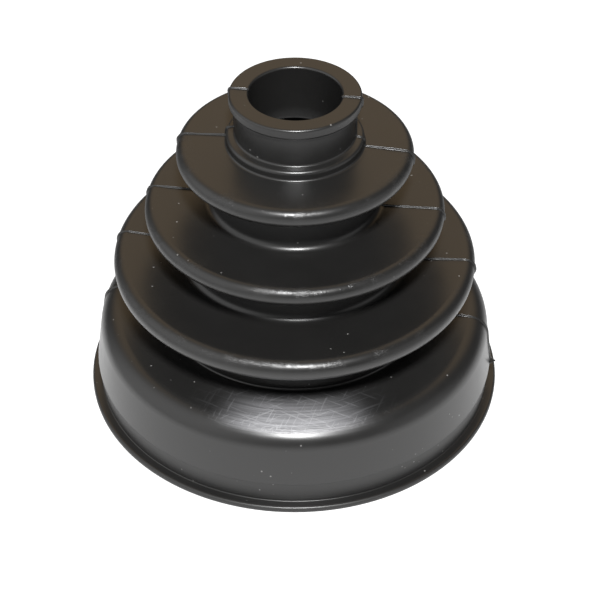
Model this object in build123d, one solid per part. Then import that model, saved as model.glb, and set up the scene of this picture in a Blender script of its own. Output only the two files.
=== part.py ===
from build123d import *
import os
from math import atan2, hypot, radians, sin, tan

# Rubber bellows boot, moulded in one piece, standing on the flange of its large end.
# Units are millimetres, +Z points up the axis, and the origin is at the centre of the foot.
# The wall is one section turned about Z, and a thin mould line stands on it at +X and -X.

# ---- bowl: the large end, which grips a joint housing ----
housing_bore_r = 44.25
housing_bore_round = 0.6   # mouth of that bore
housing_wall = 3.45        # thickness at the foot of the wall
wall_draft = 1.9           # the outside leans in by this much up to the shoulder
shoulder_round = 5.0
bowl_wall = 2.2            # thickness of its top
bowl_top = 21.15           # height of the crease under the lowest valley
bowl_top_run = 14.5        # from the lowest valley out to the shoulder
bowl_top_fall = 0.45       # over that run
crease_round = 0.5
parting_z = 7.4            # horizontal mould line
parting_step = 0.2         # the wall is smaller by this much below it
foot_draft = 0.3           # the wall narrows by this much from there to the flange

# ---- flange at the foot ----
flange_reach = 1.8         # how far it stands out past the wall
flange_thickness = 1.65
flange_round = 0.7
flange_root_round = 0.25

# ---- folds: three flat-topped discs with hollow, rounded crests ----
fold_wall = 1.7
crest_hollow_round = 0.45  # inner radius of a crest
crest_band = 0.2           # straight band round a crest
under_angle = 25.0         # slope of the flank below a crest, in degrees
valley_round = 1.5         # between that flank and the valley's wall
fold_foot_round = 1.8      # between a valley's wall and the next fold

lower_rise = 17.0          # from the bowl's crease up to the fold's top at its crest
lower_fall = -1.4          # fall of the top out to its crest, and negative where it rises
lower_depth = 10.8         # from the wall of its valley out to the crest
lower_crest_extra = 0.35   # the lowest crest is rounder by this much

middle_rise = 13.9         # from the top of the fold below
middle_fall = -0.45
middle_valley_r = 25.4     # wall of the valley below the fold
middle_depth = 8.8

upper_rise = 15.05
upper_fall = 0.55
upper_valley_r = 18.7
upper_depth = 7.8

# ---- collar: the small end, which grips a shaft ----
shaft_bore_r = 10.25
bore_mouth_round = 0.6
bore_foot_round = 1.2      # where the bore opens into the hollow folds
neck_wall = 3.15
neck_round = 0.55
seat_height = 7.65         # clamp-band seat, from the bead up to the lip
lip_reach = 1.2            # how far the lip stands out past the seat
lip_thickness = 2.4
lip_taper = 0.3            # fall of the lip's underside towards the neck
lip_round = 0.6

bead_height = 3.05         # inner edge of the bead above the top of the upper fold
bead_reach = 1.95          # how far the bead stands out past the seat
bead_fall = 0.4            # fall of its top towards its rim
bead_round = 0.9

# ---- flash of the two-part mould, from the bore's mouth down to parting_z ----
flash_width = 0.6
flash_height = 0.45
flash_depth = 0.5          # how far its section reaches into the wall
nub_reach = 1.4            # tab where the upright flash meets the horizontal line
nub_width = 2.8
nub_thickness = 0.55

# ---- places that follow from the sizes above ----
wall_r = housing_bore_r + housing_wall
shoulder_r = wall_r - wall_draft
flange_r = wall_r + flange_reach
lower_valley_r = shoulder_r - bowl_top_run
neck_r = shaft_bore_r + neck_wall
lip_r = neck_r + lip_reach
bead_r = neck_r + bead_reach

lower_top = bowl_top + lower_rise
middle_top = lower_top + middle_rise
upper_top = middle_top + upper_rise
bead_top = upper_top + bead_height
lip_foot = bead_top + seat_height
height = lip_foot + lip_thickness


def unit(start, end):
    """Unit vector from one point to another."""
    dx, dz = end[0] - start[0], end[1] - start[1]
    return dx / hypot(dx, dz), dz / hypot(dx, dz)


def cross(u, v):
    """Cross product of two plane vectors."""
    return u[0] * v[1] - u[1] * v[0]


def skin(corners, depths):
    """Corners of a line that lies inside an outline of (radius, height, round) corners.

    depths holds its distance behind each straight run, and is negative outside. Rounds
    keep their centres: one that bulges loses the depth and one that is hollow gains it.
    """
    runs = []
    for start, end, depth in zip(corners, corners[1:], depths):
        u = unit(start, end)
        runs.append(((start[0] + u[1] * depth, start[1] - u[0] * depth), u, depth))
    line = []
    for (p, u, depth), (q, v, _), corner in zip(runs, runs[1:], corners[1:]):
        along = cross((q[0] - p[0], q[1] - p[1]), v) / cross(u, v)
        change = -depth if cross(u, v) < 0 else depth
        line.append((p[0] + u[0] * along, p[1] + u[1] * along, max(corner[2] + change, 0)))
    return line


def round_corner(last, corner, following):
    """Start, middle and end of the arc that rounds a corner of an outline."""
    x, z, r = corner
    back, ahead = unit(corner, last), unit(corner, following)
    half = abs(atan2(cross(back, ahead), back[0] * ahead[0] + back[1] * ahead[1])) / 2
    inward = unit((0, 0), (back[0] + ahead[0], back[1] + ahead[1]))
    reach, depth = r / tan(half), r / sin(half) - r
    return [(x + way[0] * far, 0, z + way[1] * far)
            for way, far in ((back, reach), (inward, depth), (ahead, reach))]


def section(corners):
    """Face in the XZ plane from a closed ring of (radius, height, round) corners."""
    neighbours = zip(corners[-1:] + corners[:-1], corners, corners[1:] + corners[:1])
    arcs = [round_corner(*three) for three in neighbours]
    edges = []
    for corner, arc, following in zip(corners, arcs, arcs[1:] + arcs[:1]):
        if corner[2] > 0:
            edges.append(ThreePointArc(*arc))
        edges.append(Line(arc[2], following[0]))
    return make_face(Wire(edges))


def collar():
    """Outer corners of the collar, from its bore to the rim of the bead."""
    return [
        (shaft_bore_r, height, bore_mouth_round),
        (lip_r, height, lip_round),
        (lip_r, lip_foot, lip_round),
        (neck_r, lip_foot - lip_taper, neck_round),
        (neck_r, bead_top, neck_round),
        (bead_r, bead_top - bead_fall, bead_round),
    ]


def fold(start_r, start_round, top, fall, valley_r, depth, extra=0):
    """Outer corners of a fold, from the foot of the wall above it to its own valley."""
    crest_r = valley_r + depth
    crest_round = fold_wall + crest_hollow_round + extra
    top_turn = radians(90) - atan2(fall, crest_r - start_r)
    under_turn = radians(90 - under_angle)
    crest_foot = top - crest_band - crest_round * (tan(top_turn / 2) + tan(under_turn / 2))
    flank_fall = depth * tan(radians(under_angle))
    return [
        (start_r, top + fall, start_round),
        (crest_r, top, crest_round),
        (crest_r, crest_foot, crest_round),
        (valley_r, crest_foot - flank_fall, valley_round),
    ]


def bowl(end_r):
    """Outer corners of the bowl's top, from its crease to a shoulder at end_r."""
    end_z = bowl_top - bowl_top_fall * (end_r - lower_valley_r) / bowl_top_run
    return [(lower_valley_r, bowl_top, crease_round), (end_r, end_z, shoulder_round)]


def foot():
    """Outer corners below the shoulder, from the mould line to the floor."""
    foot_r = wall_r - parting_step
    return [
        (wall_r, parting_z, 0),
        (foot_r, parting_z - parting_step, 0),
        (foot_r - foot_draft, flange_thickness, flange_root_round),
        (flange_r, flange_thickness, flange_round),
        (flange_r, 0, flange_round),
    ]


def wall_section(upper, folds):
    """Section of the whole wall, whose inside follows the folds and the bowl."""
    ceiling = bowl(wall_r)
    depths = [bead_r - shaft_bore_r] + [fold_wall] * len(folds)
    depths += [bowl_wall] * (len(ceiling) - 1) + [housing_wall]
    inside = skin(upper[-1:] + folds + ceiling + [(wall_r, 0, 0)], depths)
    inside[0] = (*inside[0][:2], bore_foot_round)
    floor_edge = (housing_bore_r, 0, housing_bore_round)
    return section(upper + folds + bowl(shoulder_r) + foot() + [floor_edge] + inside[::-1])


def flash_section(corners):
    """Section of the upright flash, which follows the outside of the wall."""
    start = (shaft_bore_r + bore_mouth_round, height)
    path = [(*start, 0)] + corners + [(wall_r, parting_z, 0)]
    runs = len(path) - 1
    outside, inside = skin(path, [-flash_height] * runs), skin(path, [flash_depth] * runs)
    top_end = [(start[0], height - flash_depth, 0), (start[0], height + flash_height, 0)]
    foot_end = [(wall_r + flash_height, parting_z, 0), (wall_r - flash_depth, parting_z, 0)]
    return section(top_end + outside + foot_end + inside[::-1])


def boot():
    """The boot as one solid."""
    upper = collar()
    folds = fold(bead_r, neck_round, upper_top, upper_fall, upper_valley_r, upper_depth)
    folds += fold(upper_valley_r, fold_foot_round, middle_top, middle_fall,
                  middle_valley_r, middle_depth)
    folds += fold(middle_valley_r, fold_foot_round, lower_top, lower_fall,
                  lower_valley_r, lower_depth, lower_crest_extra)
    body = revolve(wall_section(upper, folds), Axis.Z)
    flash = extrude(flash_section(upper[1:] + folds + bowl(shoulder_r)), flash_width / 2, both=True)
    tab = make_face(Polyline(
        (wall_r - flash_depth, -nub_width / 2), (wall_r + nub_reach, 0),
        (wall_r - flash_depth, nub_width / 2), close=True))
    nub = Pos(0, 0, parting_z) * extrude(tab, nub_thickness / 2, both=True)
    return body + flash + Rot(0, 0, 180) * flash + nub


os.makedirs("parts", exist_ok=True)
export_step(boot(), "parts/boot.step")
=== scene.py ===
from math import asin, atan2, ceil, cos, degrees, hypot, pi, radians, sin, tan

import bpy
from mathutils import Matrix, Vector, noise


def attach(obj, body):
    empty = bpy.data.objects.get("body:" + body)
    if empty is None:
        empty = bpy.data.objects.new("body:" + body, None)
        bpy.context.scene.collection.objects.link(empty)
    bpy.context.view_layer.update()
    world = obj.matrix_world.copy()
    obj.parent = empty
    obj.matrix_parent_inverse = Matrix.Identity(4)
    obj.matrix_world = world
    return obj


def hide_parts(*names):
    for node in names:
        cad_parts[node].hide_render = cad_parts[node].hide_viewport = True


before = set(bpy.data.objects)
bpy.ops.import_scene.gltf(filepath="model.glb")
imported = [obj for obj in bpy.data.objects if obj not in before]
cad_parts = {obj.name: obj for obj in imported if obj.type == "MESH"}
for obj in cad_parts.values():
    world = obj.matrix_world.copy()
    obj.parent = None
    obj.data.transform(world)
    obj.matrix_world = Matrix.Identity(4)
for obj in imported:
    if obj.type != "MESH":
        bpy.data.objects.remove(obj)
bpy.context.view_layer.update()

MM = 0.001

# ---- the boot's sizes in millimetres, by the same names as in the part's source ----
housing_bore_r = 44.25
housing_bore_round = 0.6
housing_wall = 3.45
wall_draft = 1.9
shoulder_round = 5.0
bowl_wall = 2.2
bowl_top = 21.15
bowl_top_run = 14.5
bowl_top_fall = 0.45
crease_round = 0.5
parting_z = 7.4
parting_step = 0.2
foot_draft = 0.3

flange_reach = 1.78        # 0.02 mm less than the part's, so that fine rings stay inside its box
flange_thickness = 1.65
flange_round = 0.7
flange_root_round = 0.25

fold_wall = 1.7
crest_hollow_round = 0.45
crest_band = 0.2
under_angle = 25.0
valley_round = 1.5
fold_foot_round = 1.8

lower_rise = 17.0
lower_fall = -1.4
lower_depth = 10.8
lower_crest_extra = 0.35
middle_rise = 13.9
middle_fall = -0.45
middle_valley_r = 25.4
middle_depth = 8.8
upper_rise = 15.05
upper_fall = 0.55
upper_valley_r = 18.7
upper_depth = 7.8

shaft_bore_r = 10.25
bore_mouth_round = 0.6
bore_foot_round = 1.2
neck_wall = 3.15
neck_round = 0.55
seat_height = 7.65
lip_reach = 1.2
lip_thickness = 2.4
lip_taper = 0.3
lip_round = 0.6
bead_height = 3.05
bead_reach = 1.95
bead_fall = 0.4
bead_round = 0.9

flash_height = 0.45
nub_reach = 1.4
nub_width = 2.8
nub_thickness = 0.55

wall_r = housing_bore_r + housing_wall
shoulder_r = wall_r - wall_draft
flange_r = wall_r + flange_reach
lower_valley_r = shoulder_r - bowl_top_run
neck_r = shaft_bore_r + neck_wall
lip_r = neck_r + lip_reach
bead_r = neck_r + bead_reach
lower_top = bowl_top + lower_rise
middle_top = lower_top + middle_rise
upper_top = middle_top + upper_rise
bead_top = upper_top + bead_height
lip_foot = bead_top + seat_height
height = lip_foot + lip_thickness

view_turn = radians(7)      # from -Y, the front, towards the tab: where the camera stands

# ---- how the mesh is divided ----
arc_step = radians(9)       # turn of one segment of a round
edge_gap = 0.12             # ring kept this close to each end of a straight run
long_run = 3.0              # longest step along a straight run
tab_rings = (0.6, 0.45)     # rings above the mould line's tab, as shares of its thickness
quarter_lines = 36          # lines from the last one below round to the next quarter
# how far the lines on each side of the mould line stand from it, up and down the boot
seam_lines = [0, 0.07, 0.14, 0.21, 0.28, 0.34, 0.42, 0.55, 0.75, 1.0, 1.25, 1.5]


# ---- section ----
def unit(start, end):
    """Unit vector from one point to another."""
    dx, dz = end[0] - start[0], end[1] - start[1]
    return dx / hypot(dx, dz), dz / hypot(dx, dz)


def cross(u, v):
    """Cross product of two plane vectors."""
    return u[0] * v[1] - u[1] * v[0]


def skin(corners, depths):
    """Corners of a line that lies inside an outline of (radius, height, round) corners.

    depths holds its distance behind each straight run. Rounds keep their centres: one that
    bulges loses the depth and one that is hollow gains it.
    """
    runs = []
    for start, end, depth in zip(corners, corners[1:], depths):
        u = unit(start, end)
        runs.append(((start[0] + u[1] * depth, start[1] - u[0] * depth), u, depth))
    line = []
    for (p, u, depth), (q, v, _), corner in zip(runs, runs[1:], corners[1:]):
        along = cross((q[0] - p[0], q[1] - p[1]), v) / cross(u, v)
        change = -depth if cross(u, v) < 0 else depth
        line.append((p[0] + u[0] * along, p[1] + u[1] * along, max(corner[2] + change, 0)))
    return line


def collar():
    """Outer corners of the collar, from its bore to the rim of the bead."""
    return [(shaft_bore_r, height, bore_mouth_round), (lip_r, height, lip_round),
            (lip_r, lip_foot, lip_round), (neck_r, lip_foot - lip_taper, neck_round),
            (neck_r, bead_top, neck_round), (bead_r, bead_top - bead_fall, bead_round)]


def fold(start_r, start_round, top, fall, valley_r, depth, extra=0):
    """Outer corners of a fold, from the foot of the wall above it to its own valley."""
    crest_r = valley_r + depth
    crest_round = fold_wall + crest_hollow_round + extra
    top_turn = radians(90) - atan2(fall, crest_r - start_r)
    under_turn = radians(90 - under_angle)
    crest_foot = top - crest_band - crest_round * (tan(top_turn / 2) + tan(under_turn / 2))
    return [(start_r, top + fall, start_round), (crest_r, top, crest_round),
            (crest_r, crest_foot, crest_round),
            (valley_r, crest_foot - depth * tan(radians(under_angle)), valley_round)]


def bowl(end_r):
    """Outer corners of the bowl's top, from its crease to a shoulder at end_r."""
    end_z = bowl_top - bowl_top_fall * (end_r - lower_valley_r) / bowl_top_run
    return [(lower_valley_r, bowl_top, crease_round), (end_r, end_z, shoulder_round)]


def foot():
    """Outer corners below the shoulder, from the mould line to the floor."""
    foot_r = wall_r - parting_step
    return [(wall_r, parting_z, 0), (foot_r, parting_z - parting_step, 0),
            (foot_r - foot_draft, flange_thickness, flange_root_round),
            (flange_r, flange_thickness, flange_round), (flange_r, 0, flange_round)]


def ring_of_corners():
    """Closed ring of the wall's corners: down the outside, over the foot and up the inside."""
    upper = collar()
    folds = fold(bead_r, neck_round, upper_top, upper_fall, upper_valley_r, upper_depth)
    folds += fold(upper_valley_r, fold_foot_round, middle_top, middle_fall,
                  middle_valley_r, middle_depth)
    folds += fold(middle_valley_r, fold_foot_round, lower_top, lower_fall,
                  lower_valley_r, lower_depth, lower_crest_extra)
    ceiling = bowl(wall_r)
    depths = [bead_r - shaft_bore_r] + [fold_wall] * len(folds)
    depths += [bowl_wall] * (len(ceiling) - 1) + [housing_wall]
    inside = skin(upper[-1:] + folds + ceiling + [(wall_r, 0, 0)], depths)
    inside[0] = (*inside[0][:2], bore_foot_round)
    floor_edge = (housing_bore_r, 0, housing_bore_round)
    return upper + folds + bowl(shoulder_r) + foot() + [floor_edge] + inside[::-1]


def arc(last, corner, following):
    """Points and outward normals round one corner."""
    x, z, r = corner
    u, v = unit(last, corner), unit(corner, following)
    if r <= 0:
        mid = unit((0, 0), (u[0] + v[0], u[1] + v[1]))
        return [(x, z, -mid[1], mid[0])]
    turn = atan2(cross(u, v), u[0] * v[0] + u[1] * v[1])
    reach = r * tan(abs(turn) / 2)
    side = 1 if turn > 0 else -1
    cx = x - u[0] * reach - u[1] * r * side
    cz = z - u[1] * reach + u[0] * r * side
    count = max(3, ceil(abs(turn) / arc_step))
    points = []
    for k in range(count + 1):
        a = turn * k / count
        n = (-u[1] * cos(a) - u[0] * sin(a), u[0] * cos(a) - u[1] * sin(a))
        points.append((cx - n[0] * r * side, cz - n[1] * r * side, *n))
    return points


def profile(corners):
    """Points (radius, height, normal) along the ring, with close rings at the ends of each run."""
    neighbours = zip(corners[-1:] + corners[:-1], corners, corners[1:] + corners[:1])
    arcs = [arc(*three) for three in neighbours]
    points = []
    for now, after in zip(arcs, arcs[1:] + arcs[:1]):
        points += now
        (x0, z0), (x1, z1) = now[-1][:2], after[0][:2]
        length = hypot(x1 - x0, z1 - z0)
        if length < 1e-6:
            points.pop()
            continue
        u = ((x1 - x0) / length, (z1 - z0) / length)
        if length < 4 * edge_gap:
            continue
        steps = ceil((length - 2 * edge_gap) / long_run)
        marks = [edge_gap + (length - 2 * edge_gap) * k / steps for k in range(steps + 1)]
        if z1 == parting_z:
            marks += [length - nub_thickness * share for share in tab_rings]
        for t in sorted(marks):
            points.append((x0 + u[0] * t, z0 + u[1] * t, -u[1], u[0]))
    return points


# ---- mould line ----
flash_half = {-1: 0.26, 1: 0.34}    # half its width, on the side away from the tab and on the tab's
mouth_points = 4                    # points of the bore's mouth over which it fades in


def smooth(low, high, x):
    """From 0 to 1, with soft ends, as x goes from low to high."""
    t = min(1, max(0, (x - low) / (high - low)))
    return t * t * (3 - 2 * t)


def flash_rise(side, along, offset):
    """How far the mould line stands out of the wall, at an offset to one side of it."""
    drift = noise.noise(Vector((along * 0.22, side * 7.3, 1.7)))
    fine = noise.noise(Vector((along * 1.1, side * 3.1, 9.2)))
    tall = flash_height * min(1, 0.78 + 0.35 * drift + 0.25 * fine)
    half = flash_half[side] + 0.05 * fine
    return tall * (1 - smooth(0.45, 1.0, abs(offset) / half))


def tab_rise(z, offset):
    """How far the tab stands out where the mould lines cross."""
    across = max(0, 1 - abs(offset) / (nub_width / 2))
    return nub_reach * across * (1 - smooth(0.6, 1.1, abs(z - parting_z) / (nub_thickness / 2)))


def quarter_angles(r):
    """Angles from the mould line to the next quarter: even distances first, then even angles."""
    near = [asin(s / r) for s in seam_lines]
    rest = [near[-1] + (pi / 2 - near[-1]) * (k + 1) / quarter_lines for k in range(quarter_lines)]
    return near + rest


def columns(r):
    """(angle, side, offset) of each line round the boot; offset is None far from the mould line."""
    quarter = quarter_angles(r)
    marks = seam_lines + [None] * quarter_lines
    half = list(zip(quarter, [1] * len(quarter), marks))
    half += [(pi - a, -1, m) for a, _, m in half[-2::-1]]
    return half[:-1] + [(a + pi, -s, m) for a, s, m in half[:-1]]


# ---- wear and a painted glare, kept on the mesh for the material ----
facing_up = 0.15            # least upward part of the normal where a crest is rubbed
low_wall_matt = 0.6
lowest_crest_r = lower_valley_r + lower_depth


def rubbed(r, z, nz):
    """How far the crests are rubbed, from 0 to 1."""
    if nz <= facing_up or r >= lowest_crest_r + 0.5:
        return 0
    crests = ((lowest_crest_r, lower_top), (middle_valley_r + middle_depth, middle_top),
              (upper_valley_r + upper_depth, upper_top))
    return max((1 - smooth(1.4, 3.2, crest_r - r)) * smooth(-2.4, -0.8, z - top)
               for crest_r, top in crests if r < crest_r + 0.5)


def scuffed(r, z, turn_from_front):
    """How far the front of the bowl's top is scuffed, from 0 to 1."""
    across = 1 - smooth(10, 38, abs(turn_from_front))
    outward = smooth(lower_valley_r + 0.5, lower_valley_r + 3, r)
    return across * outward * smooth(bowl_top - 1.25, bowl_top - 0.65, z)


def painted_glare_at(r, z, turn_from_front):
    """How strongly a painted glare pales the front of the bowl's top, more towards its shoulder, from 0
    to 1.
    """
    across = 1 - smooth(5, 27, abs(turn_from_front))
    outward = smooth(lower_valley_r + 1.2, lower_valley_r + 11.2, r)
    return across * outward * smooth(bowl_top - 1.55, bowl_top - 0.75, z)


def matted(r, z):
    """How matt the valleys, the bowl's foot, the flange's edge and the bore's foot are, from 0 to 1."""
    walls = ((lower_valley_r, bowl_top + 1.5), (middle_valley_r, lower_top),
             (upper_valley_r, middle_top + 1))
    valley = any(abs(r - wall) < 0.05 and low < z < low + 9 for wall, low in walls)
    edge = r > flange_r - 0.4 and z < flange_thickness - 0.2
    bore_foot = r < bead_r - 1 and z < upper_top + 1.5
    if valley or edge or bore_foot:
        return 1
    low_wall = wall_r - 0.7 < r < wall_r + 0.05 and flange_thickness + 0.3 < z < parting_z + 0.01
    return low_wall_matt if low_wall else 0


def boot_mesh():
    """The boot's section turned about Z, with the mould line raised on it and its wear and a painted
    glare marked.
    """
    points = profile(ring_of_corners())
    length = 0.0
    along = []
    for last, point in zip(points[-1:] + points[:-1], points):
        length += hypot(point[0] - last[0], point[1] - last[1])
        along.append(length)
    verts, faces = [], []
    # one of these marks is a painted glare: the front of the bowl's top paled as if lit
    wear = {"rub": [], "scuff": [], "painted_glare": [], "matt": []}
    outer_end = next(k for k, p in enumerate(points) if p[1] < parting_z - 0.01)
    for k, ((r, z, nr, nz), run) in enumerate(zip(points, along)):
        ring = columns(r)
        outside = k < outer_end
        on_bowl = outside and z < bowl_top + 0.5
        fade = smooth(0.2, 1.0, nz) if k < mouth_points else 1
        by_tab = abs(z - parting_z) < 1 and r > housing_bore_r + 0.5
        for angle, side, offset in ring:
            near_seam = offset is not None
            rise = flash_rise(side, run, offset) * fade if near_seam and outside else 0
            out, up = r + nr * rise, z + nz * rise
            if near_seam and side > 0 and by_tab:
                out = max(out, r + tab_rise(z, offset))
            verts.append((out * cos(angle) * MM, out * sin(angle) * MM, up * MM))
            from_front = (degrees(angle - view_turn) + 90 + 180) % 360 - 180
            wear["rub"].append(rubbed(r, z, nz) if outside else 0)
            wear["scuff"].append(scuffed(r, z, from_front) if on_bowl else 0)
            # painted glare on the front of the bowl's top
            wear["painted_glare"].append(painted_glare_at(r, z, from_front) if on_bowl else 0)
            wear["matt"].append(matted(r, z))
    rings, wide = len(points), len(ring)
    for i in range(rings):
        a, b = i * wide, (i + 1) % rings * wide
        for j in range(wide):
            m = (j + 1) % wide
            faces.append((a + j, b + j, b + m, a + m))
    mesh = bpy.data.meshes.new("boot_rubber")
    mesh.from_pydata(verts, [], faces)
    mesh.validate()
    mesh.polygons.foreach_set("use_smooth", [True] * len(faces))
    for name, values in wear.items():
        mesh.attributes.new(name, "FLOAT", "POINT").data.foreach_set("value", values)
    mesh.update()
    return mesh


boot = bpy.data.objects.new("boot_rubber", boot_mesh())
bpy.context.scene.collection.objects.link(boot)
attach(boot, "root")
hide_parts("boot")


# ---- nodes ----
def node(tree, kind, inputs=(), **settings):
    """A new node; each input is a value or another node's socket."""
    made = tree.nodes.new(kind)
    for name, value in settings.items():
        setattr(made, name, value)
    for name, value in dict(inputs).items():
        if isinstance(value, bpy.types.NodeSocket):
            tree.links.new(value, made.inputs[name])
        else:
            made.inputs[name].default_value = value
    return made


def cleared(holder):
    """The node tree of a material or a world, emptied."""
    holder.use_nodes = True
    holder.node_tree.nodes.clear()
    return holder.node_tree


def band(tree, value, low, high, start, end):
    """A smooth change from start to end as a value goes from low to high."""
    limits = {"Value": value, "From Min": low, "From Max": high, "To Min": start, "To Max": end}
    made = node(tree, "ShaderNodeMapRange", limits, interpolation_type="SMOOTHSTEP")
    return made.outputs["Result"]


def math(tree, operation, *values):
    """The result of a Math node."""
    made = node(tree, "ShaderNodeMath", dict(enumerate(values)), operation=operation)
    return made.outputs["Value"]


def mixed(tree, amount, start, end):
    """Numbers from start to end by an amount from 0 to 1."""
    return node(tree, "ShaderNodeMix", {"Factor": amount, 2: start, 3: end}).outputs[0]


def tinted(tree, amount, start, end):
    """Colours from start to end by an amount from 0 to 1."""
    made = node(tree, "ShaderNodeMix", {"Factor": amount, "A": start, "B": end}, data_type="RGBA")
    return made.outputs["Result"]


# ---- rubber: satin black, with wear and a painted glare where the mesh marks them ----
black, dark_grey = (0.0125, 0.0123, 0.0120, 1), (0.0165, 0.0161, 0.0156, 1)
scuff_grey = (0.06, 0.06, 0.062, 1)
# pale grey of a painted glare on the front of the bowl's top, standing in for a highlight
painted_glare_grey = (0.50, 0.50, 0.52, 1)
# pale grey of painted glints on the scratches, where the glare is painted
scratch_glint_grey = (0.62, 0.62, 0.64, 1)
dust_grey = (0.24, 0.235, 0.23, 1)
matt_roughness, worn_roughness = 0.6, 0.5

rubber = bpy.data.materials.new("rubber")
tree = cleared(rubber)
place = node(tree, "ShaderNodeTexCoord").outputs["Object"]


def noise_at(scale, detail=3.0, rough=0.6, spot=place):
    """Noise in the boot's own space, or at another spot."""
    made = node(tree, "ShaderNodeTexNoise", {
        "Vector": spot, "Scale": scale, "Detail": detail, "Roughness": rough})
    return made.outputs["Fac"]


def worn(name):
    """How worn the boot is, by one of the mesh's marks."""
    return node(tree, "ShaderNodeAttribute", attribute_name=name).outputs["Fac"]


def scratches(angle):
    """Hairlines at an angle from +X, as an amount from 0 to 1."""
    spot = node(tree, "ShaderNodeMapping", {
        "Vector": place, "Rotation": (0, 0, radians(angle)), "Scale": (22, 1, 1)},
        vector_type="TEXTURE").outputs[0]
    return band(tree, noise_at(2000.0, 1.0, 0.5, spot), 0.63, 0.70, 0, 1)


x, y, z = (node(tree, "ShaderNodeSeparateXYZ", {0: place}).outputs[axis] for axis in "XYZ")
squares = [math(tree, "POWER", side, 2.0) for side in (x, y)]
from_axis = math(tree, "SQRT", math(tree, "ADD", *squares))
swirl = math(tree, "MULTIPLY", math(tree, "ARCTAN2", y, x), 0.0008)     # drawn out round the axis
ring = node(tree, "ShaderNodeCombineXYZ", {0: from_axis, 1: swirl, 2: z}).outputs[0]
cloud = noise_at(90.0, 4.0)
grain = noise_at(2600.0)
grooves = noise_at(12000.0, 2.0, 0.5, ring)
brushed = noise_at(2600.0, 3.0, 0.5, ring)
sparkle = noise_at(5200.0, 1.0)

# the second of these marks is a painted glare
scuff, painted_glare = worn("scuff"), worn("painted_glare")
rub = math(tree, "MULTIPLY", worn("rub"), band(tree, noise_at(160.0), 0.50, 0.62, 0, 1))
glints = math(tree, "MULTIPLY", rub, band(tree, noise_at(4200.0, 1.0), 0.58, 0.66, 0, 1))
hairs = math(tree, "MAXIMUM", scratches(-20), scratches(35))
hairs = math(tree, "MULTIPLY", math(tree, "MAXIMUM", hairs, scratches(75)), scuff)
to_speck = node(tree, "ShaderNodeTexVoronoi", {"Vector": place, "Scale": 380.0}).outputs["Distance"]
dusted = band(tree, noise_at(70.0), 0.5, 0.6, 0, 1)
specks = math(tree, "MULTIPLY", band(tree, to_speck, 0.05, 0.10, 1, 0), dusted)

greyed = math(tree, "MULTIPLY_ADD", scuff, 0.3, hairs)
greyed = math(tree, "MINIMUM", math(tree, "MULTIPLY_ADD", glints, 0.4, greyed), 1.0)
# Painted glare: the front of the bowl's top paled towards its shoulder, in brushed streaks.
painted_glare_amount = math(tree, "MULTIPLY", painted_glare, band(tree, brushed, 0.3, 0.7, 0.55, 1.0))
# Painted glints: the scratches paled further where the glare is painted.
painted_scratch_glints = math(tree, "MULTIPLY", math(tree, "MULTIPLY", hairs, 0.4), painted_glare)
tone = node(tree, "ShaderNodeValToRGB", {"Fac": cloud})
tone.color_ramp.elements[0].color = black
tone.color_ramp.elements[1].color = dark_grey
colour = tinted(tree, greyed, tone.outputs["Color"], scuff_grey)
# the painted glare laid over the tone
colour = tinted(tree, painted_glare_amount, colour, painted_glare_grey)
# the painted glints on the scratches
colour = tinted(tree, painted_scratch_glints, colour, scratch_glint_grey)
colour = tinted(tree, specks, colour, dust_grey)

rough = mixed(tree, worn("matt"), band(tree, cloud, 0.3, 0.7, 0.30, 0.34), matt_roughness)
rough = mixed(tree, math(tree, "MAXIMUM", hairs, glints), rough, worn_roughness)

# Strength is a mix towards the bumped normal, so the wear has a Bump node of its own.
moulded = node(tree, "ShaderNodeBump", {"Height": grain, "Strength": 0.15, "Distance": 0.00002})
dents = math(tree, "MULTIPLY", sparkle, math(tree, "MULTIPLY", rub, 0.6))
wear = math(tree, "MULTIPLY_ADD", grooves, math(tree, "MULTIPLY", scuff, 0.75), dents)
bump = node(tree, "ShaderNodeBump", {
    "Height": wear, "Strength": 1.0, "Distance": 0.00012, "Normal": moulded.outputs["Normal"]})
shader = node(tree, "ShaderNodeBsdfPrincipled", {
    "Base Color": colour, "Roughness": rough, "Specular IOR Level": 0.68,
    "Normal": bump.outputs["Normal"]})
node(tree, "ShaderNodeOutputMaterial", {"Surface": shader.outputs["BSDF"]})
boot.data.materials.append(rubber)

# ---- camera, at the photograph's angle ----
focal_px, frame_px, sensor = 1700.0, 600.0, 36.0
camera_far, camera_rise, camera_roll = 0.4072, radians(40.39), radians(0.4)
aim_right, aim_height = 0.00133, 0.02113
camera_back, camera_up = camera_far * cos(camera_rise), camera_far * sin(camera_rise)
turned = Matrix.Rotation(view_turn, 4, "Z")
aim = turned @ Vector((aim_right, 0, aim_height))
stand = turned @ Vector((aim_right, -camera_back, aim_height + camera_up))
camera = bpy.data.objects.new("camera", bpy.data.cameras.new("camera"))
camera.data.sensor_width = sensor
camera.data.lens = sensor * focal_px / frame_px
camera.data.clip_start, camera.data.clip_end = 0.01, 100
look = (aim - stand).to_track_quat("-Z", "Y").to_matrix().to_4x4()
camera.matrix_world = Matrix.Translation(stand) @ look @ Matrix.Rotation(camera_roll, 4, "Z")
bpy.context.scene.collection.objects.link(camera)
bpy.context.scene.camera = camera


# ---- studio: places round the boot are given as directions from it ----
def facing(azimuth, elevation):
    """Direction at degrees from the camera's side towards the right, and degrees up."""
    a, e = radians(azimuth) + view_turn, radians(elevation)
    return Vector((sin(a) * cos(e), -cos(a) * cos(e), sin(e)))


def falloff(tree, distance, stops):
    """Light by distance from the boot's axis; stops are (metres, light), up to the far end."""
    far = stops[-1][0]
    made = node(tree, "ShaderNodeValToRGB", {"Fac": math(tree, "DIVIDE", distance, far)})
    ramp = made.color_ramp
    for count, (at, light) in enumerate(stops):
        stop = ramp.elements[count] if count < 2 else ramp.elements.new(at / far)
        stop.position = at / far
        stop.color = (light, light, light, 1)
    return made.outputs["Color"]


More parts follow.
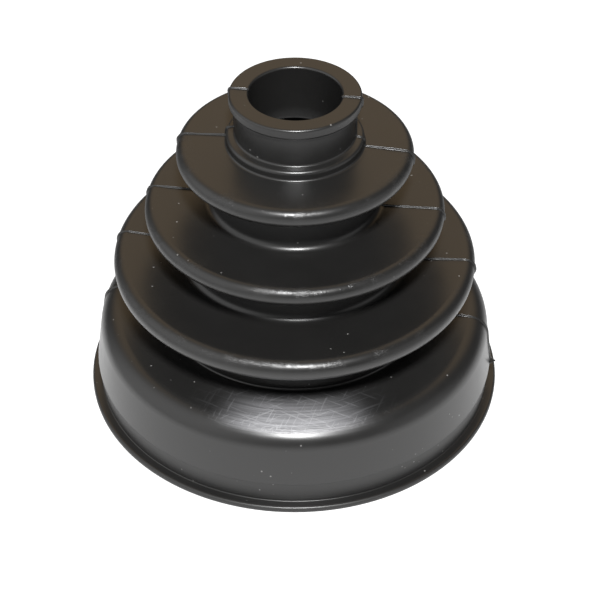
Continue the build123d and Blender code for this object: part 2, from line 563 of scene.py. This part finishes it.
def along(tree, direction, azimuth):
    """How nearly a level direction points to an azimuth: 1 towards it and -1 away."""
    made = node(tree, "ShaderNodeVectorMath", {0: direction, 1: facing(azimuth, 0)},
                operation="DOT_PRODUCT")
    return made.outputs["Value"]


# ---- floor: white to the camera and to gloss, and darker to gloss behind the boot ----
floor_half, floor_gap = 3.0, 0.00005
camera_white, floor_colour = 0.85, (0.4, 0.4, 0.4, 1)

floor_mesh = bpy.data.meshes.new("floor")
floor_corners = [(side * floor_half, end * floor_half, 0)
                 for side, end in ((-1, -1), (1, -1), (1, 1), (-1, 1))]
floor_mesh.from_pydata(floor_corners, [], [(0, 1, 2, 3)])
floor = bpy.data.objects.new("floor", floor_mesh)
bpy.context.scene.collection.objects.link(floor)
floor.location.z = -floor_gap

paper = bpy.data.materials.new("paper")
tree = cleared(paper)
rays = node(tree, "ShaderNodeLightPath").outputs
where = node(tree, "ShaderNodeTexCoord").outputs["Object"]
away = node(tree, "ShaderNodeVectorMath", {0: where}, operation="LENGTH").outputs["Value"]
toward = node(tree, "ShaderNodeVectorMath", {0: where}, operation="NORMALIZE").outputs["Vector"]
white = falloff(tree, away, [(0.0495, 1.0), (0.100, 1.0), (0.120, 0.6), (0.2, 0.4)])
shade = math(tree, "MAXIMUM", band(tree, along(tree, toward, 180), 0.15, 0.75, 1.0, 0.06),
             band(tree, away, 0.060, 0.080, 0.4, 0))
mirrored = math(tree, "MULTIPLY", white, shade)
seen = math(tree, "MULTIPLY", rays["Is Camera Ray"], camera_white)
shown = math(tree, "MULTIPLY_ADD", rays["Is Glossy Ray"], mirrored, seen)
glow = node(tree, "ShaderNodeEmission", {"Color": (1, 1, 1, 1), "Strength": shown})
lit = node(tree, "ShaderNodeBsdfDiffuse", {"Color": floor_colour})
both = node(tree, "ShaderNodeAddShader", {0: glow.outputs["Emission"], 1: lit.outputs["BSDF"]})
node(tree, "ShaderNodeOutputMaterial", {"Surface": both.outputs["Shader"]})
floor_mesh.materials.append(paper)

# ---- a softbox over the front ----
lamp_way, lamp_aim = facing(3, 55), Vector((0, 0, 0.04))
lamp_far, lamp_spread = 1.0, radians(4)
lamp_level = 1.3            # light that it gives to a surface facing it

lamp = bpy.data.lights.new("softbox", "AREA")
lamp.shape = "DISK"
lamp.size = 2 * lamp_far * tan(lamp_spread)
lamp.energy = lamp_level * (pi * lamp_far) ** 2
hung = bpy.data.objects.new("softbox", lamp)
hung.matrix_world = (Matrix.Translation(lamp_aim + lamp_way * lamp_far)
                     @ lamp_way.to_track_quat("Z", "Y").to_matrix().to_4x4())
bpy.context.scene.collection.objects.link(hung)

# ---- a dim room, with soft patches that gloss sees ----
fill, room_dim = (0.05, 0.05, 0.05, 1), 0.08
# azimuth, elevation, radius of the even middle and outer radius in degrees, then colour
patches = (
    (-75, 20, 15, 58, (1.0, 1.0, 1.0)),
    (70, 8, 5, 35, (0.5, 0.5, 0.5)),
    (-10, 10, 5, 35, (0.3, 0.3, 0.3)),
    (180, 46, 12, 48, (0.64, 0.45, 0.25)))

world = bpy.data.worlds.new("room")
bpy.context.scene.world = world
tree = cleared(world)
heading = node(tree, "ShaderNodeTexCoord").outputs["Generated"]
room = node(tree, "ShaderNodeCombineXYZ", {0: room_dim, 1: room_dim, 2: room_dim}).outputs["Vector"]
for azimuth, elevation, inner, outer, light in patches:
    near = node(tree, "ShaderNodeVectorMath", {0: heading, 1: facing(azimuth, elevation)},
                operation="DOT_PRODUCT").outputs["Value"]
    part = band(tree, near, cos(radians(outer)), cos(radians(inner)), 0, 1)
    room = node(tree, "ShaderNodeVectorMath", {0: part, 1: light, 2: room},
                operation="MULTIPLY_ADD").outputs["Vector"]
rays = node(tree, "ShaderNodeLightPath").outputs
dim = tinted(tree, rays["Is Glossy Ray"], fill, room)
backdrop = tinted(tree, rays["Is Camera Ray"], dim, (1, 1, 1, 1))
sky = node(tree, "ShaderNodeBackground", {"Color": backdrop, "Strength": 1.0})
node(tree, "ShaderNodeOutputWorld", {"Surface": sky.outputs["Background"]})

bpy.context.scene.view_settings.view_transform = "Standard"
